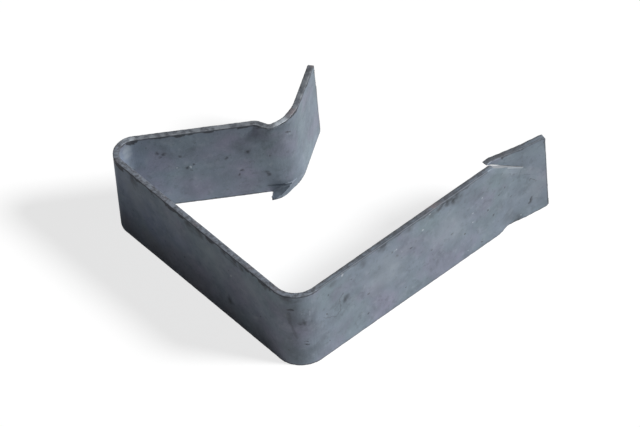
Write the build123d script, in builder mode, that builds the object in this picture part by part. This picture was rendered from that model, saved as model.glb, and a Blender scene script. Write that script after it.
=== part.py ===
"""Wire clip: one bent strip of galvanised steel, an open U that stands on its lower edge.

The back of the U is the web. A long leg leaves it square and a short leg leans in over it.
The last stretch of each leg is sheared free along a slanted slit and pushed inwards, where it ends
in a barb that points back to the web, and from there it flares outwards as the lead-in that a
wire slides under. Each leg is described from its whole edge, the one without the slit: the
lower edge on the long leg and the upper edge on the short leg. So both ends come from one
function, and the short one is turned over.
"""

import os
from math import cos, radians, sin
from typing import NamedTuple

from build123d import *

os.makedirs("parts", exist_ok=True)

# Driving dimensions, mm and degrees. Plan lines run along the inner face of the strip.
strip_width = 25.0
strip_thickness = 1.6
web_length = 71.2
long_leg_angle = 90.15
short_leg_angle = 55.5
long_bend_radius = 5.7
short_bend_radius = 3.9
tip_corner_radius = 0.8
rolled_slope = 4.5  # how far down the face an edge is rolled over, for each mm of its depth


class Section(NamedTuple):
    """Inner face line of a leg's end, at a height above its whole edge."""

    height: float
    line: list
    radii: list


class LegEnd(NamedTuple):
    """The end of one leg. Points are (along the leg, inwards from its inner face)."""

    flat: float  # where the end takes over from the plain leg
    sections: list  # from the whole edge, where the step inwards is deepest, to the slit's height
    barb: list  # inner face line of the barb and lead-in beside the slit
    barb_radii: list
    torn_root: list  # metal smeared between leg and barb, where they didn't part
    leg_side: list  # the slit's edge on the leg, from its closed end: (along the leg, height)
    barb_side: list  # the slit's edge on the barb
    rolled_depth: float  # how deep the leg's outer edge is rolled over beside the slit


long_dimensions = LegEnd(
    flat=56.0,
    sections=[
        Section(0.0, [(63.9, 0.0), (67.4, 1.0), (73.2, -0.25), (79.4, -1.15)], [8.0, 4.0, 20.0]),
        Section(3.0, [(64.0, 0.0), (68.3, 0.5), (73.2, -0.2), (79.4, -1.2)], [12.0, 10.0, 20.0]),
        Section(8.0, [(65.0, 0.0), (69.5, 0.12), (73.3, -0.15), (79.4, -1.3)], [20.0, 20.0, 15.0]),
        Section(17.7, [(68.6, 0.0), (71.2, 0.03), (72.3, -0.1), (79.4, -1.4)], [8.0, 8.0, 8.0]),
    ],
    barb=[(61.3, 1.7), (64.2, 1.98), (72.3, -0.1), (79.4, -1.4)],
    barb_radii=[2.5, 8.0],
    torn_root=[],
    leg_side=[(72.1, 17.7), (62.75, strip_width)],
    barb_side=[(72.4, 17.7), (72.4, 18.55), (62.3, strip_width)],
    rolled_depth=0.3,
)
short_dimensions = LegEnd(
    flat=32.0,
    sections=[
        Section(
            0.0,
            [(37.6, 0.0), (40.8, 2.4), (45.4, 0.1), (48.6, -3.8), (54.3, -17.8)],
            [2.2, 2.8, 6.8, 12.8],
        ),
        Section(
            2.2,
            [(37.4, 0.0), (41.0, 0.75), (45.3, -0.2), (48.5, -3.75), (54.32, -17.9)],
            [4.0, 4.0, 6.5, 12.0],
        ),
        Section(
            7.0,
            [(37.0, 0.0), (41.8, 0.1), (45.0, -0.75), (48.2, -3.8), (54.35, -18.0)],
            [10.0, 9.0, 7.0, 12.0],
        ),
        Section(
            22.7,
            [(39.0, 0.0), (43.2, 0.12), (45.9, -0.55), (48.3, -2.9), (54.4, -18.3)],
            [7.0, 7.0, 6.0, 7.5],
        ),
    ],
    barb=[(39.0, 3.1), (42.8, 2.5), (48.3, -2.9), (54.4, -18.3)],
    barb_radii=[5.5, 12.0],
    torn_root=[(40.4, 0.0), (39.6, 2.9), (42.0, 2.0), (44.5, 0.0)],
    leg_side=[(45.4, 22.7), (40.5, strip_width)],
    barb_side=[(45.4, 22.7), (39.7, strip_width)],
    rolled_depth=0.0,
)


def strip_outline(points, bend_radii):
    """Closed plan outline: the inner face line, filleted, and the outer face line beside it."""
    with BuildLine() as outline:
        inner_face = FilletPolyline(*points, radius=bend_radii)
        offset(inner_face, amount=strip_thickness, side=Side.RIGHT)
    return outline.edges()


def leg_end(leg, size):
    """Shape the end of a leg: leg is a plane with x along it, y inwards, z from its whole edge."""
    slit_height = size.sections[-1].height
    inner_face = Plane(origin=leg.origin, x_dir=leg.x_dir, z_dir=-leg.y_dir)
    back_to_leg = [(size.flat, strip_width), (size.flat, slit_height)]

    # Barb and lead-in beside the slit, sheared off on the slant
    with BuildPart() as barb_plate:
        with BuildSketch(leg.offset(slit_height)):
            make_face(strip_outline(size.barb, size.barb_radii))
            if size.torn_root:
                with BuildLine():
                    Polyline(*size.torn_root, close=True)
                make_face()
        extrude(amount=strip_width - slit_height)
        with BuildSketch(inner_face):
            with BuildLine():
                Polyline(*size.barb_side, *back_to_leg, close=True)
            make_face()
        extrude(amount=strip_width, both=True, mode=Mode.SUBTRACT)

    with BuildPart() as end:
        # The part of the width below the slit: leg, step inwards and lead-in
        for pair in zip(size.sections, size.sections[1:]):
            for section in pair:
                with BuildSketch(leg.offset(section.height)):
                    make_face(strip_outline([(size.flat, 0.0)] + section.line, section.radii))
            loft(ruled=True)
        # The leg's own plate up to the slit, and its outer edge that the punch rolled over
        with BuildSketch(inner_face):
            with BuildLine():
                Polyline(*size.leg_side, *back_to_leg, close=True)
            make_face()
        extrude(amount=strip_thickness)
        if size.rolled_depth:
            slit_end, slit_mouth = (inner_face.from_local_coords((*point, 0)) for point in size.leg_side)
            along_slit = slit_mouth - slit_end
            outer_edge = strip_thickness - size.rolled_depth
            with BuildSketch(Plane(origin=slit_end, x_dir=-leg.y_dir, z_dir=along_slit)):
                with BuildLine():
                    Polyline(
                        (outer_edge, 0),
                        (outer_edge + 1, 0),
                        (outer_edge + 1, -rolled_slope),
                        close=True,
                    )
                make_face()
            extrude(amount=along_slit.length, mode=Mode.SUBTRACT)
        add(barb_plate.part)
        # Worn corners of the sheared tip
        across = end.edges().filter_by(lambda edge: abs(edge.length - strip_thickness) < 0.001)
        tip_start = size.barb[-1][0] - strip_thickness
        tip_edges = across.filter_by(lambda edge: leg.to_local_coords(edge.center()).X > tip_start)
        tip_edges = tip_edges.sort_by(Axis.Z)
        fillet([tip_edges[0], tip_edges[-1]], radius=tip_corner_radius)
    return end.part


def leg_direction(angle):
    """Plan direction of a leg that makes this angle with the web, counted from +X."""
    return Vector(cos(radians(angle)), sin(radians(angle)))


long_direction = leg_direction(180 - long_leg_angle)
short_direction = leg_direction(short_leg_angle)
web_corner = Vector(web_length, 0)

long_end = leg_end(Plane(web_corner, x_dir=long_direction, z_dir=(0, 0, 1)), long_dimensions)
short_end = leg_end(
    Plane((0, 0, strip_width), x_dir=short_direction, z_dir=(0, 0, -1)), short_dimensions
)

with BuildPart() as bent_strip:
    with BuildSketch():
        make_face(
            strip_outline(
                [
                    short_direction * short_dimensions.flat,
                    (0, 0),
                    web_corner,
                    web_corner + long_direction * long_dimensions.flat,
                ],
                [short_bend_radius, long_bend_radius],
            )
        )
    extrude(amount=strip_width)
    add(long_end)
    add(short_end)

# The origin is in the middle of the ground that the clip covers
middle = bent_strip.part.bounding_box().center()
with BuildPart(Plane((-middle.X, -middle.Y, 0))) as wire_clip:
    add(bent_strip.part)

wire_clip.part.label = "wire_clip"
export_step(wire_clip.part, "parts/wire_clip.step")
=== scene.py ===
"""Looks of the wire clip: a bent strip of weathered galvanised steel, standing on its sheared edge."""

from math import cos, pi, radians, sin

import bmesh
import bpy
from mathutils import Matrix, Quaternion, Vector, noise
from mathutils.bvhtree import BVHTree
from mathutils.kdtree import KDTree


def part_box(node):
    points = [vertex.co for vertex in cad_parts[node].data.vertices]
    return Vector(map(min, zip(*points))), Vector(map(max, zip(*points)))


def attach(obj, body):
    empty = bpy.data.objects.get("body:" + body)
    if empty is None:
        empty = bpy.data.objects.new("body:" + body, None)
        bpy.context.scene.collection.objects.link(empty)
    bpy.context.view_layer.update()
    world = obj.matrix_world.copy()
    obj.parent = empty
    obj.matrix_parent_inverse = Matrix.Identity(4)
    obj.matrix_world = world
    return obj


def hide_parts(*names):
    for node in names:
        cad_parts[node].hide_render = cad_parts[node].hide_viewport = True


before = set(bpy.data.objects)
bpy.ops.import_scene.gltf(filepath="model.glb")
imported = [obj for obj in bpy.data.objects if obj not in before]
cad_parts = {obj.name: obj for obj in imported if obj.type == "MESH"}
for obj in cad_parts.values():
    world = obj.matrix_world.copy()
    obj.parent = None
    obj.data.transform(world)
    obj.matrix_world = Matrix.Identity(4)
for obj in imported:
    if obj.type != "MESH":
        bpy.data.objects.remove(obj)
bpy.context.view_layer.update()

clip_low, clip_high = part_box("wire_clip")
clip_middle = (clip_low + clip_high) / 2

# Camera. It looks down on the corner between the web and the long leg, from well back through
# a long lens, so that the strip's edges run almost parallel, and it is rolled a little clockwise.
camera_lens_mm = 385.0
camera_distance = 1.6764
camera_azimuth = radians(52.66)
camera_elevation = radians(47.65)
camera_roll = radians(-5.24)
camera_aim = clip_middle + Vector((0.0074, -0.0090, 0.0))


def direction(azimuth, elevation):
    """Unit vector out to where a camera or a lamp stands: azimuth 0 is -Y and 90 is +X."""
    level = cos(elevation)
    return Vector((sin(azimuth) * level, -cos(azimuth) * level, sin(elevation)))


camera = bpy.data.objects.new("camera", bpy.data.cameras.new("camera"))
back = direction(camera_azimuth, camera_elevation)
camera.data.lens = camera_lens_mm
camera.data.clip_start = 0.1
camera.data.clip_end = 20.0
camera.location = camera_aim + back * camera_distance
camera.rotation_mode = "QUATERNION"
camera.rotation_quaternion = (-back).to_track_quat("-Z", "Y") @ Quaternion((0, 0, 1), camera_roll)
bpy.context.scene.collection.objects.link(camera)
bpy.context.scene.camera = camera
bpy.context.scene.view_settings.view_transform = "Standard"


# Floor and light. One soft lamp stands beyond the long leg and leaves the web's outer face in shade,
# and a weak sky fills in the rest. The floor glows to the camera, so that the shadow on it stays pale.
floor_reach = 4.0
floor_white = 0.30
floor_glow = 0.76
floor_mirror = 0.93
floor_bounce = 0.5
sky_white = 1.0
sky_light = 0.03
sun_azimuth = radians(129.0)
sun_elevation = radians(39.0)
sun_level = 1.3
sun_width = radians(14.0)


class Value:
    """A socket of a shader. Python arithmetic on it adds the Math nodes."""

    def __init__(self, tree, socket):
        self.tree = tree
        self.socket = socket

    def node(self, kind, settings, sockets, output=0):
        """Add any node: its settings first, then the value or the link of each named socket."""
        made = self.tree.nodes.new(kind)
        for name, setting in settings.items():
            setattr(made, name, setting)
        for name, given in sockets.items():
            if isinstance(given, Value):
                self.tree.links.new(given.socket, made.inputs[name])
            else:
                made.inputs[name].default_value = given
        return Value(self.tree, made.outputs[output])

    def maths(self, operation, *terms, clamp=False):
        """Add one Math node, with these terms in its sockets."""
        settings = {"operation": operation, "use_clamp": clamp}
        return self.node("ShaderNodeMath", settings, dict(enumerate(terms)))

    def __add__(self, other):
        return self.maths("ADD", self, other)

    def __sub__(self, other):
        return self.maths("SUBTRACT", self, other)

    def __rsub__(self, other):
        return self.maths("SUBTRACT", other, self)

    def __mul__(self, other):
        return self.maths("MULTIPLY", self, other)

    __radd__ = __add__
    __rmul__ = __mul__

    def between(self, low, high):
        """0 below low, 1 above high, smooth in between (or the other way if low > high)."""
        settings = {"interpolation_type": "SMOOTHSTEP"}
        sockets = {"Value": self, "From Min": low, "From Max": high}
        return self.node("ShaderNodeMapRange", settings, sockets)

    def mix(self, first, second):
        """The first colour where this mask is 0, the second where it is 1."""
        sockets = {0: self, 6: colour(first), 7: colour(second)}
        return self.node("ShaderNodeMix", {"data_type": "RGBA"}, sockets, output=2)


def colour(given):
    """What a colour socket takes: a link as it is, or three numbers with an alpha of 1."""
    return given if isinstance(given, Value) else (*given, 1.0)


def new_material(name):
    """A material with nothing but its output, and that output as a Value that makes more nodes."""
    material = bpy.data.materials.new(name)
    material.use_nodes = True
    tree = material.node_tree
    tree.nodes.clear()
    output = tree.nodes.new("ShaderNodeOutputMaterial")
    return material, Value(tree, output.inputs["Surface"])


bm = bmesh.new()
bmesh.ops.create_grid(bm, x_segments=1, y_segments=1, size=floor_reach)
bmesh.ops.translate(bm, verts=bm.verts, vec=(0, 0, clip_low.z))
floor = bpy.data.objects.new("floor", bpy.data.meshes.new("floor"))
bm.to_mesh(floor.data)
bm.free()
bpy.context.scene.collection.objects.link(floor)


def seen(maker):
    """1 on rays that show a surface to the camera, straight or in a reflection, 0 on the rest."""
    straight = maker.node("ShaderNodeLightPath", {}, {}, output="Is Camera Ray")
    glossy = maker.node("ShaderNodeLightPath", {}, {}, output="Is Glossy Ray")
    through = maker.node("ShaderNodeLightPath", {}, {}, output="Is Transmission Ray")
    return straight.maths("ADD", straight + glossy, through, clamp=True)


floor_material, maker = new_material("floor")
by_camera = maker.node("ShaderNodeLightPath", {}, {}, output="Is Camera Ray")
by_gloss = maker.node("ShaderNodeLightPath", {}, {}, output="Is Glossy Ray")
shade = by_camera.mix(by_gloss.mix((floor_bounce,) * 3, (floor_mirror,) * 3), (floor_white,) * 3)
lit = maker.node("ShaderNodeBsdfDiffuse", {}, {"Color": shade})
glow = maker.node("ShaderNodeEmission", {}, {"Strength": by_camera * floor_glow})
surface = maker.node("ShaderNodeAddShader", {}, {0: lit, 1: glow})
maker.tree.links.new(surface.socket, maker.socket)
floor.data.materials.append(floor_material)

world = bpy.data.worlds.new("sky")
world.use_nodes = True
world.node_tree.nodes.clear()
sky_output = world.node_tree.nodes.new("ShaderNodeOutputWorld")
maker = Value(world.node_tree, sky_output.inputs["Surface"])
level = sky_light + seen(maker) * (sky_white - sky_light)
sky = maker.node("ShaderNodeBackground", {}, {"Strength": level})
maker.tree.links.new(sky.socket, maker.socket)
bpy.context.scene.world = world

sun = bpy.data.objects.new("sun", bpy.data.lights.new("sun", "SUN"))
sun.data.energy = sun_level * pi
sun.data.angle = sun_width
sun.rotation_mode = "QUATERNION"
sun.rotation_quaternion = direction(sun_azimuth, sun_elevation).to_track_quat("Z", "Y")
bpy.context.scene.collection.objects.link(sun)


# Wire clip. One piece of galvanised steel strip, sheared to width, slit, and bent cold into a U.
# The shears left its edges ragged and dark, and handling has rounded them and worn them pale.
strip_thickness = 0.0016
weld_distance = 0.000002
flat_angle = radians(0.6)
cell = 0.0005
cut_snap = 0.00001

# A copy of the solid, with its flat faces made whole and then cut into even cells along each axis
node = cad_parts["wire_clip"]
bm = bmesh.new()
bm.from_mesh(node.data)
bmesh.ops.remove_doubles(bm, verts=bm.verts, dist=weld_distance)
bmesh.ops.dissolve_limit(bm, angle_limit=flat_angle, verts=bm.verts, edges=bm.edges)
for axis in range(3):
    across = [0.0, 0.0, 0.0]
    across[axis] = 1.0
    span = clip_high[axis] - clip_low[axis]
    steps = int(span / cell)
    for step in range(steps):
        cut = [0.0, 0.0, 0.0]
        cut[axis] = clip_low[axis] + (step + 0.5) * span / steps
        everything = bm.verts[:] + bm.edges[:] + bm.faces[:]
        bmesh.ops.bisect_plane(bm, geom=everything, dist=cut_snap, plane_co=cut, plane_no=across)

# A broad face has the strip's other side close behind it, and a sheared edge has not. The slits
# are told from the other edges by their slope and place
sharp_corner = radians(30.0)
just_inside = 0.00001
broad_depth = 1.5 * strip_thickness
back_to_back = -0.8
broad_share = 0.5
smallest_edge = 0.0000004
slit_slant = (0.5, 0.95)
leg_inside_x = 0.031
slit_mouth_y = 0.0265
slit_end_y = 0.0337
slit_end_length = 0.0008
corner_share = (0.01, 0.99)
slit_margin = 0.0025
seam_reach = 0.004
solid = BVHTree.FromBMesh(bm)


def smooth_regions():
    """Groups of faces that no sharp corner parts."""
    left = set(bm.faces)
    while left:
        region = {left.pop()}
        growing = list(region)
        while growing:
            for edge in growing.pop().edges:
                if edge.calc_face_angle(pi) < sharp_corner:
                    found = left.intersection(edge.link_faces)
                    left -= found
                    region |= found
                    growing += found
        yield region


def is_broad(face):
    """The strip's broad faces have its other side close behind them, and its edges have not."""
    start = face.calc_center_median() - face.normal * just_inside
    normal, depth = solid.ray_cast(start, -face.normal)[1::2]
    return depth is not None and depth < broad_depth and face.normal.dot(normal) < back_to_back


def is_slit(face):
    """The sides of both slits slant, and the long one has a closed end, all inside the width."""
    middle = face.calc_center_median()
    inside = clip_low.z + cell < middle.z < clip_high.z - cell
    slanted = slit_slant[0] < abs(face.normal.z) < slit_slant[1]
    closed_end = middle.x > leg_inside_x and slit_end_y - slit_end_length < middle.y < slit_end_y
    return inside and (slanted or closed_end)


sheared = bm.verts.layers.float.new("sheared")
burnished = bm.verts.layers.float.new("burnished")
from_edge = bm.verts.layers.float.new("from_edge")
for region in smooth_regions():
    area = sum(face.calc_area() for face in region)
    broad_area = sum(face.calc_area() for face in region if is_broad(face))
    if area > smallest_edge and broad_area < broad_share * area:
        for face in region:
            slit = is_slit(face)
            for vert in face.verts:
                vert[sheared] += 1.0 / len(vert.link_faces)
                vert[burnished] += slit / len(vert.link_faces)


def nearest_of(verts):
    """A tree that finds the nearest of these vertices."""
    tree = KDTree(len(verts))
    for index, vert in enumerate(verts):
        tree.insert(vert.co, index)
    tree.balance()
    return tree


slits = nearest_of([vert for vert in bm.verts if vert[burnished] > 0])
corners = [vert for vert in bm.verts if corner_share[0] < vert[sheared] < corner_share[1]]
rim = nearest_of([vert for vert in corners if slits.find(vert.co)[2] > slit_margin])
for vert in bm.verts:
    vert[from_edge] = min(rim.find(vert.co)[2], seam_reach)

# The punch rolled over the leg's outer edge beside the long slit, less and less towards its closed
# end, and dragged the slit's lower side up against the barb
barb_side_z = 0.01835
barb_side_slope = 0.638
leg_outside_x = 0.03482
lead_in_slope = 0.10
rolled_depth = 0.00047
rolled_below = (0.0001, 0.004)
rolled_full_y = 0.0290
rolled_end_y = 0.0322
fully_sheared = 0.99
steepest_under = -0.3

bm.normal_update()
for vert in bm.verts:
    barb_z = barb_side_z + (slit_end_y - vert.co.y) * barb_side_slope
    outside_x = leg_outside_x + lead_in_slope * max(0.0, vert.co.y - rolled_end_y)
    near_face = 0.0 < outside_x - vert.co.x < rolled_depth
    near_slit = rolled_below[0] < barb_z - vert.co.z < rolled_below[1]
    fades = rolled_full_y < vert.co.y < slit_end_y
    if near_face and near_slit and fades and vert[sheared] < fully_sheared:
        fading = min(1.0, (vert.co.y - rolled_full_y) / (rolled_end_y - rolled_full_y))
        vert.co.x += (outside_x - vert.co.x) * fading
    beside_slit = slit_mouth_y < vert.co.y < slit_end_y and vert.co.x > leg_inside_x
    if beside_slit and vert[sheared] > 0 and vert.normal.z > steepest_under:
        vert.co.z = max(vert.co.z, barb_z)

# Handling rounds the sheared edges. The faces wander a little and the edges are ragged, always
# inwards, so that the clip stays inside its size
soft_rounds = 2
soft_factor = 0.5
wander_depth = 0.00006
wander_size = 0.009
ragged_depth = 0.00014
ragged_size = 0.0016
ragged_shift = Vector((3, 1, 4))

for soft_round in range(soft_rounds):
    edge_verts = [vert for vert in bm.verts if vert[sheared] > 0 and vert[burnished] == 0]
    bmesh.ops.smooth_vert(
        bm, verts=edge_verts, factor=soft_factor, use_axis_x=True, use_axis_y=True, use_axis_z=True
    )
bm.normal_update()
for vert in bm.verts:
    wander = 0.5 + 0.5 * noise.noise(vert.co / wander_size)
    ragged = max(0.0, noise.noise(vert.co / ragged_size + ragged_shift))
    depth = wander_depth * wander + ragged_depth * ragged * vert[sheared]
    vert.co -= vert.normal * depth
bmesh.ops.triangulate(bm, faces=[face for face in bm.faces if len(face.verts) > 4])
for face in bm.faces:
    face.smooth = True
for edge in bm.edges:
    by_slit = any(vert[burnished] > 0 for vert in edge.verts)
    edge.smooth = not (by_slit and edge.calc_face_angle(pi) > sharp_corner)

clip = bpy.data.objects.new("galvanised_clip", bpy.data.meshes.new("galvanised_clip"))
bm.to_mesh(clip.data)
bm.free()
bpy.context.scene.collection.objects.link(clip)

galvanised, maker = new_material("galvanised_steel")
place = maker.node("ShaderNodeTexCoord", {}, {}, output="Object")


def cloud(size, seed, low=0.0, high=1.0):
    """Uneven patches of about this size in metres, spread between two levels of an even noise."""
    sockets = {"Vector": place, "W": seed, "Scale": 1.0 / size, "Detail": 3.0}
    patches = place.node("ShaderNodeTexNoise", {"noise_dimensions": "4D"}, sockets)
    return patches.between(low, high)


def vector(operation, output, *terms):
    """Add one Vector Math node, with these terms in its sockets, and give this output of it."""
    return place.node("ShaderNodeVectorMath", {"operation": operation}, dict(enumerate(terms)), output)


noise_middle = (0.5, 0.5, 0.5)


def sway(size, reach):
    """The place, moved about by up to this reach, so that what is drawn there has a ragged outline."""
    shift = place.node("ShaderNodeTexNoise", {}, {"Vector": place, "Scale": 1.0 / size}, "Color")
    shift = vector("SUBTRACT", "Vector", shift, noise_middle)
    return vector("MULTIPLY_ADD", "Vector", shift, (2 * reach,) * 3, place)


swayed = sway(0.0011, 0.0006)
loose = sway(0.003, 0.0022)
wandering = sway(0.008, 0.006)
mm_per_metre = 1000


def spots(marks, around, soft=0.4):
    """1 in any of these spots: middle and radius in millimetres."""
    mask = 0.0
    for *middle, radius in marks:
        middle = [part / mm_per_metre for part in middle]
        away = vector("DISTANCE", "Value", around, middle)
        spot = away.between(radius / mm_per_metre, radius * soft / mm_per_metre)
        mask = spot.maths("MAXIMUM", spot, mask)
    return mask


def scratches(marks, around, soft=0.3):
    """1 on any of these scratches: first end, last end and half width in millimetres."""
    mask = 0.0
    for *ends, half_width in marks:
        first = Vector(ends[:3]) / mm_per_metre
        last = Vector(ends[3:]) / mm_per_metre
        line = last - first
        along = line / line.length_squared
        share = vector("DOT_PRODUCT", "Value", around, along)
        share = share.maths("SUBTRACT", share, first.dot(along), clamp=True)
        nearest = vector("MULTIPLY_ADD", "Vector", share, line, first)
        away = vector("DISTANCE", "Value", around, nearest)
        half_width = half_width / mm_per_metre
        scratch = away.between(half_width, half_width * soft)
        mask = scratch.maths("MAXIMUM", scratch, mask)
    return mask


# Zinc, in linear colour: a grey with blue, green and violet patches, dull and bright ones, the marks
# of handling, and some painted light and shade, in millimetres from the clip's middle and the ground.
zinc_blue = (0.206, 0.247, 0.300)
zinc_green = (0.200, 0.256, 0.288)
zinc_violet = (0.232, 0.232, 0.306)
zinc_deep = (0.200, 0.236, 0.335)
zinc_dull = (0.100, 0.122, 0.148)
zinc_painted_shade = (0.175, 0.170, 0.205)
zinc_bright = (0.330, 0.370, 0.410)
zinc_painted_highlight = (0.420, 0.460, 0.500)
zinc_fleck = (0.500, 0.540, 0.580)
# Dark grime; the same colour also paints shade in the line along the sheared edges, in the short leg's
# fold and on its barb
grime_and_shade = (0.026, 0.027, 0.032)
green_patches = [
    (34.7, -27.0, 21.0, 7.0),
    (34.8, 24.5, 19.0, 6.0),
    (34.7, 2.0, 21.0, 6.0),
    (-24.6, -40.5, 7.0, 5.0),
    (23.0, -40.5, 21.0, 5.0),
    (-27.0, -23.0, 10.0, 6.0),
    (-15.3, -5.8, 16.0, 4.0),
]
violet_patches = [
    (34.7, 13.0, 3.0, 7.0),
    (34.7, -13.0, 3.0, 7.0),
    (36.0, 39.7, 9.7, 4.0),
    (32.0, -39.0, 14.0, 10.0),
    (14.0, -40.5, 14.0, 12.0),
    (0.0, -40.5, 6.0, 12.0),
    (-12.0, -40.5, 4.0, 9.0),
    (24.0, -40.5, 6.0, 9.0),
    (-22.0, -15.0, 18.0, 7.0),
    (-19.0, -11.0, 9.0, 6.0),
    (-33.0, -31.0, 5.0, 8.0),
    (-26.0, -21.0, 5.0, 8.0),
    (-20.0, -12.0, 3.0, 7.0),
]
deep_patches = [
    (-30.0, -40.5, 18.0, 10.0),
    (-20.0, -40.5, 13.0, 10.0),
    (-29.0, -40.5, 6.0, 9.0),
    (-10.0, -40.5, 16.0, 8.0),
]
# Painted shade: darker, browner patches along the foot of the web, which make it darker towards the
# bottom
web_foot_painted_shade = [
    (-30.0, -40.5, 3.0, 9.0),
    (-18.0, -40.5, 2.0, 10.0),
    (-4.0, -40.5, 1.0, 10.0),
    (10.0, -40.5, 0.0, 10.0),
    (22.0, -40.5, 1.0, 9.0),
]
dull_patches = [
    (34.7, -34.0, 15.0, 5.0),
    (34.7, -33.5, 6.0, 5.0),
    (31.5, -39.3, 18.0, 7.0),
    (31.5, -39.3, 6.0, 8.0),
    (-16.5, -8.0, 20.0, 3.5),
    (-29.5, -27.0, 18.5, 3.0),
    (-26.0, -21.0, 19.0, 3.5),
    (-19.5, -12.0, 17.0, 4.0),
    (34.7, 29.0, 4.0, 5.0),
    (-14.3, -4.2, 0.9, 4.0),
    (-15.9, -6.6, 17.4, 3.0),
    (22.0, -40.5, 4.0, 6.0),
]
long_pits = [
    (34.7, 9.9, 12.0, 0.55),
    (34.8, 14.0, 8.9, 0.55),
    (34.7, 3.3, 11.3, 0.40),
    (34.7, -3.1, 17.1, 0.45),
    (34.8, 19.2, 1.9, 0.45),
    (34.7, -5.6, 4.7, 0.35),
    (34.7, -17.7, 4.8, 0.50),
    (34.7, -17.2, 11.3, 0.45),
    (34.8, 14.6, 19.7, 0.35),
    (34.8, 27.5, 15.4, 0.35),
    (34.8, 29.3, 10.8, 0.35),
    (34.8, 21.7, 11.6, 0.55),
    (34.8, 23.2, 8.7, 0.45),
    (34.8, 25.5, 14.2, 0.40),
    (34.7, -7.6, 17.7, 0.55),
    (34.7, -9.1, 19.9, 0.50),
    (34.7, -6.2, 15.8, 0.45),
    (34.7, -30.5, 14.5, 0.40),
    (34.7, -29.6, 20.7, 0.40),
]
short_pits = [
    (-31.0, -28.3, 19.2, 0.90),
    (-30.0, -27.0, 18.6, 0.90),
    (-30.6, -27.8, 17.6, 0.70),
    (-27.8, -23.7, 17.2, 0.60),
    (-18.3, -9.9, 15.5, 0.80),
    (-19.4, -11.5, 9.3, 0.80),
    (-19.8, -12.1, 7.9, 0.60),
    (-26.9, -22.5, 12.6, 0.80),
    (-26.0, -21.0, 13.6, 0.60),
    (-26.3, -21.4, 11.8, 0.60),
    (-21.3, -14.3, 14.3, 0.80),
]
strong_scratches = [
    (35.1, 34.8, 4.5, 35.2, 35.6, 5.9, 0.65),
    (35.2, 35.0, 12.4, 35.3, 35.7, 12.9, 0.25),
    (35.3, 35.7, 12.9, 35.5, 36.9, 11.1, 0.18),
    (33.4, -37.2, 8.8, 34.2, -35.7, 8.3, 0.25),
    (33.4, -37.3, 7.7, 34.0, -36.2, 7.3, 0.30),
    (31.2, -39.3, 20.2, 32.0, -38.8, 20.3, 0.60),
    (-13.4, -1.4, 20.3, -13.5, 0.1, 19.2, 0.32),
]
weak_scratches = [
    (34.5, 27.0, 20.3, 35.2, 35.5, 14.4, 0.24),
    (34.7, -25.0, 17.8, 34.7, -26.3, 16.0, 0.26),
    (34.7, -26.3, 16.0, 34.7, -26.1, 12.8, 0.26),
    (34.7, -26.1, 12.8, 34.7, -27.5, 11.4, 0.26),
    (34.7, -27.5, 11.4, 34.7, -31.5, 13.8, 0.22),
    (31.2, -39.3, 19.0, 31.3, -39.3, 15.8, 0.80),
    (31.3, -39.3, 15.8, 32.4, -38.5, 10.2, 0.60),
    (33.3, -37.3, 18.3, 33.8, -36.5, 18.1, 0.15),
    (7.9, -40.5, 23.2, 15.2, -40.5, 22.6, 0.35),
    (-26.3, -40.5, 23.2, -24.7, -40.5, 20.0, 0.45),
]
smudges_and_fold_shade = [
    (34.7, 6.7, 23.8, 1.6),
    (34.7, 8.9, 23.9, 1.9),
    (34.7, 11.5, 23.5, 1.6),
    (34.6, 31.5, 0.9, 1.8),
    (34.7, -24.0, 15.2, 1.8),
    (33.7, -36.8, 15.6, 1.6),
    (9.5, -40.5, 7.1, 2.2),
    (-4.2, -40.5, 23.6, 2.4),
    (-0.5, -40.5, 23.9, 2.8),
    (3.5, -40.5, 24.3, 2.2),
    (9.0, -40.5, 24.3, 2.0),
    (12.4, -40.5, 24.2, 2.6),
    (15.2, -40.5, 23.4, 2.0),
    (24.7, -40.5, 24.4, 2.0),
    (-24.9, -40.5, 23.6, 2.6),
    (-18.0, -40.5, 24.4, 1.6),
    (30.5, -39.6, 24.4, 2.6),
    # These two are painted shade in the fold under the short leg's upper edge
    (-15.0, -5.4, 23.9, 1.7),
    (-16.4, -7.4, 23.8, 1.3),
    (-15.8, -6.4, 6.8, 1.3),
    (-18.3, -9.9, 15.5, 1.3),
]
edge_stains = [
    (34.7, 4.2, 23.6, 2.2),
    (34.7, 11.5, 23.2, 3.2),
    (34.7, -3.5, 24.0, 2.0),
    (34.7, -12.0, 23.8, 2.6),
    (34.7, -18.5, 23.6, 2.4),
    (34.7, -27.5, 23.8, 2.4),
    (33.4, -37.6, 23.6, 2.2),
]
flecks = [
    (34.7, -24.8, 24.2, 0.60),
    (34.7, 1.0, 20.4, 0.40),
    (34.7, -6.0, 17.9, 0.35),
    (34.7, -7.8, 20.0, 0.40),
    (34.8, 14.9, 2.3, 0.40),
    (34.8, 20.1, 17.3, 0.35),
    (34.8, 16.9, 14.2, 0.35),
    (34.8, 16.7, 11.1, 0.35),
    (34.7, 32.2, 1.6, 0.35),
    (34.7, 3.4, 24.2, 0.50),
    (11.0, -40.5, 17.1, 0.45),
    (-26.4, -21.8, 12.8, 0.45),
    (-28.4, -24.6, 13.1, 0.28),
]
pale_scratches = [
    (34.3, -35.3, 19.2, 34.3, -35.4, 17.7, 0.25),
    (33.3, -37.3, 18.8, 33.8, -36.5, 18.6, 0.15),
    (-13.4, -0.9, 19.1, -13.6, 0.3, 18.1, 0.22),
]
pale_patches = [
    (-34.6, -34.6, 22.3, 2.0),
    (-34.6, -34.6, 20.3, 1.8),
]
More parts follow.
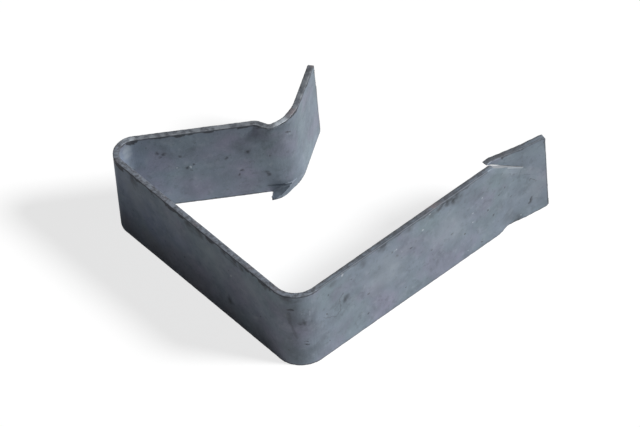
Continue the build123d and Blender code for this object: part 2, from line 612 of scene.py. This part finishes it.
# Paler patches. The five on the web's upper half are painted light, which lightens the web towards its
# top; the rest are paler patches on the legs and a corner
paler_patches_and_painted_light = [
    (-28.0, -40.5, 20.0, 6.0),
    (-24.0, -40.5, 18.0, 8.0),
    (-10.0, -40.5, 19.0, 8.0),
    (4.0, -40.5, 19.0, 9.0),
    (17.0, -40.5, 18.5, 8.0),
    (-35.5, -39.5, 17.0, 7.0),
    (-35.5, -39.5, 8.0, 6.0),
    (35.6, 37.5, 9.0, 6.0),
    (34.7, -12.0, 15.0, 9.0),
    (34.7, 8.0, 15.0, 9.0),
]
# Painted shade on the short leg's barb, beside its slit
barb_painted_shade = [
    (-14.6, -4.7, 0.6, 1.3),
    (-14.0, -3.7, 0.8, 1.1),
    (-13.6, -2.9, 1.9, 0.5),
    (-14.3, -4.2, 1.8, 0.5),
]
# Painted highlight along the long slit's lip, over its shadowed gap
slit_painted_highlight = [(34.5, 29.2, 21.0, 34.9, 33.3, 18.35, 0.42)]
# Painted highlight: a pale band on the rolled edge below the long slit
below_slit_painted_highlight = [(34.4, 27.5, 20.2, 35.3, 37.5, 14.6, 1.30)]

# Coats of the skin from the lowest up: where each lies, how strong it is, and its colour
skin_coats = [
    (cloud(0.009, 1.0, 0.45, 0.62), 0.50, zinc_green),
    (spots(green_patches, wandering, 0.0), 1.00, zinc_green),
    (cloud(0.009, 2.0, 0.50, 0.66), 0.60, zinc_violet),
    (spots(violet_patches, wandering, 0.0), 0.85, zinc_violet),
    (spots(deep_patches, wandering, 0.0), 1.00, zinc_deep),
    # painted shade along the foot of the web
    (spots(web_foot_painted_shade, wandering, 0.0), 0.75, zinc_painted_shade),
    (cloud(0.004, 3.0, 0.30, 0.75), 0.45, zinc_dull),
    (spots(dull_patches, wandering, 0.0), 0.60, zinc_dull),
    (cloud(0.0016, 4.0, 0.55, 0.75), 0.25, zinc_bright),
    (cloud(0.0013, 11.0, 0.54, 0.68), 0.32, zinc_dull),
    (cloud(0.0024, 12.0, 0.54, 0.70), 0.20, zinc_bright),
    (cloud(0.0010, 8.0, 0.66, 0.76), 0.55, grime_and_shade),
    (spots(smudges_and_fold_shade, loose, 0.0), 0.80, grime_and_shade),
    (spots(edge_stains, loose, 0.0), 0.45, grime_and_shade),
    (scratches(weak_scratches, swayed), 0.30, grime_and_shade),
    (spots(long_pits, swayed, 0.0), 0.85, grime_and_shade),
    (spots(short_pits, swayed, 0.0), 0.80, grime_and_shade),
    # painted shade on the short barb
    (spots(barb_painted_shade, swayed, 0.0), 0.45, grime_and_shade),
    (scratches(strong_scratches, swayed, 0.0), 0.90, grime_and_shade),
    (spots(pale_patches, swayed, 0.2), 0.55, zinc_bright),
    # painted light on the web's upper half, and paler patches elsewhere
    (spots(paler_patches_and_painted_light, wandering, 0.0), 0.34, zinc_bright),
    # painted highlight below the long slit
    (scratches(below_slit_painted_highlight, swayed, 0.5), 0.20, zinc_bright),
    # painted highlight along the long slit
    (scratches(slit_painted_highlight, place, 0.4), 0.70, zinc_painted_highlight),
    (scratches(pale_scratches, swayed), 0.60, zinc_bright),
    (spots(flecks, swayed), 0.70, zinc_fleck),
]
skin = zinc_blue
for mask, strength, coat in skin_coats:
    skin = (mask * strength).mix(skin, coat)

# Bare steel of the sheared edges: dark and grainy, paler where worn. Zinc is wiped over the
# outer half of the long leg's upper edge, and the slits' sides are burnished by the punch.
steel_dark = (0.078, 0.085, 0.098)
steel_pale = (0.186, 0.210, 0.250)
steel_warm = (0.205, 0.178, 0.190)
steel_worn = (0.450, 0.490, 0.535)
steel_burnished = (0.330, 0.345, 0.365)
worn_spots = [
    (-13.2, -3.6, 25.0, 2.2),
    (-13.0, -2.0, 25.0, 1.8),
]
warm_spots = [
    (34.2, 5.3, 25.0, 2.4),
    (-13.9, 1.2, 25.0, 2.2),
    (-22.4, 15.6, 24.8, 1.4),
]
dark_spots = [
    (33.9, 36.5, 25.0, 2.6),
    (34.4, 39.0, 25.0, 2.4),
    (-20.5, 11.9, 25.0, 3.0),
    (-18.6, 9.4, 25.0, 1.8),
    (-22.0, 14.6, 25.0, 2.4),
    (31.8, 25.8, 25.0, 2.4),
    (32.3, 27.8, 25.0, 1.6),
]

# Stretches over which each finish comes in: along both legs, along the short leg, over the outer
# half of the long leg's edge, up the faces, and away from an edge's corner
legs_y = (-0.034, -0.030)
short_leg_x = (-0.012, -0.014)
short_leg_y = (-0.036, -0.033)
wiped_x = (0.0342, 0.0350)
wiped_ragged = 0.0012
blot_z = (0.020, 0.023)
blot_width = 0.0014
blots_off_legs = 0.45
seam_width = (0.00060, 0.00015)
seam_strength = 0.85
seam_wiped_off = 0.3
wiped_cover = 0.8
half_way = (0.4, 0.6)

east = place.node("ShaderNodeSeparateXYZ", {}, {0: swayed}, "X")
north = place.node("ShaderNodeSeparateXYZ", {}, {0: swayed}, "Y")
height = place.node("ShaderNodeSeparateXYZ", {}, {0: place}, "Z")
on_legs = north.between(*legs_y)
on_short_leg = east.between(*short_leg_x) * north.between(*short_leg_y)
wiped = (east + cloud(0.003, 9.0, 0.25, 0.75) * wiped_ragged).between(*wiped_x) * on_legs

# Coats of the bare steel, in the same way
steel_coats = [
    (cloud(0.0007, 6.0, 0.35, 0.65), 1.00, steel_pale),
    (on_short_leg * cloud(0.0018, 7.0, 0.40, 0.56), 0.70, steel_worn),
    (on_short_leg * cloud(0.0020, 10.0, 0.56, 0.64), 0.80, grime_and_shade),
    (cloud(0.005, 7.0, 0.52, 0.65), 0.25, steel_warm),
    (on_legs, 0.60, steel_dark),
    (spots(dark_spots, loose, 0.0), 0.85, steel_dark),
    (spots(warm_spots, loose, 0.0), 0.80, steel_warm),
    (spots(worn_spots, swayed, 0.0), 0.90, steel_worn),
]
steel = steel_dark
for mask, strength, coat in steel_coats:
    steel = (mask * strength).mix(steel, coat)

# A dark line lies along the corners of the sheared edges, partly grime and partly painted shade under
# the rolled-over edge, in blots where the grime has run down the upper ones
sheared_mask = maker.node("ShaderNodeAttribute", {"attribute_name": "sheared"}, {}, output="Fac")
slit_mask = maker.node("ShaderNodeAttribute", {"attribute_name": "burnished"}, {}, output="Fac")
rim_away = maker.node("ShaderNodeAttribute", {"attribute_name": "from_edge"}, {}, output="Fac")
upper = height.between(*blot_z) * (1 - on_legs * blots_off_legs)
blotched = upper * cloud(0.003, 5.0, 0.45, 0.70)
seam = (rim_away - blotched * blot_width).between(*seam_width)
shade = (seam * seam_strength * (1 - wiped * seam_wiped_off)).mix(skin, grime_and_shade)
shade = (sheared_mask.between(*half_way) * (1 - wiped * wiped_cover)).mix(shade, steel)
shade = slit_mask.between(*half_way).mix(shade, steel_burnished)
relief = cloud(0.0007, 0.0) * 0.4 + cloud(0.003, 0.0) * 0.6
bump = maker.node("ShaderNodeBump", {}, {"Height": relief, "Strength": 0.3, "Distance": 0.0003})
surface = maker.node(
    "ShaderNodeBsdfPrincipled",
    {},
    {"Base Color": shade, "Metallic": 0.3, "Roughness": 0.6, "Normal": bump},
)
maker.tree.links.new(surface.socket, maker.socket)
clip.data.materials.append(galvanised)

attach(clip, "root")
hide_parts("wire_clip")
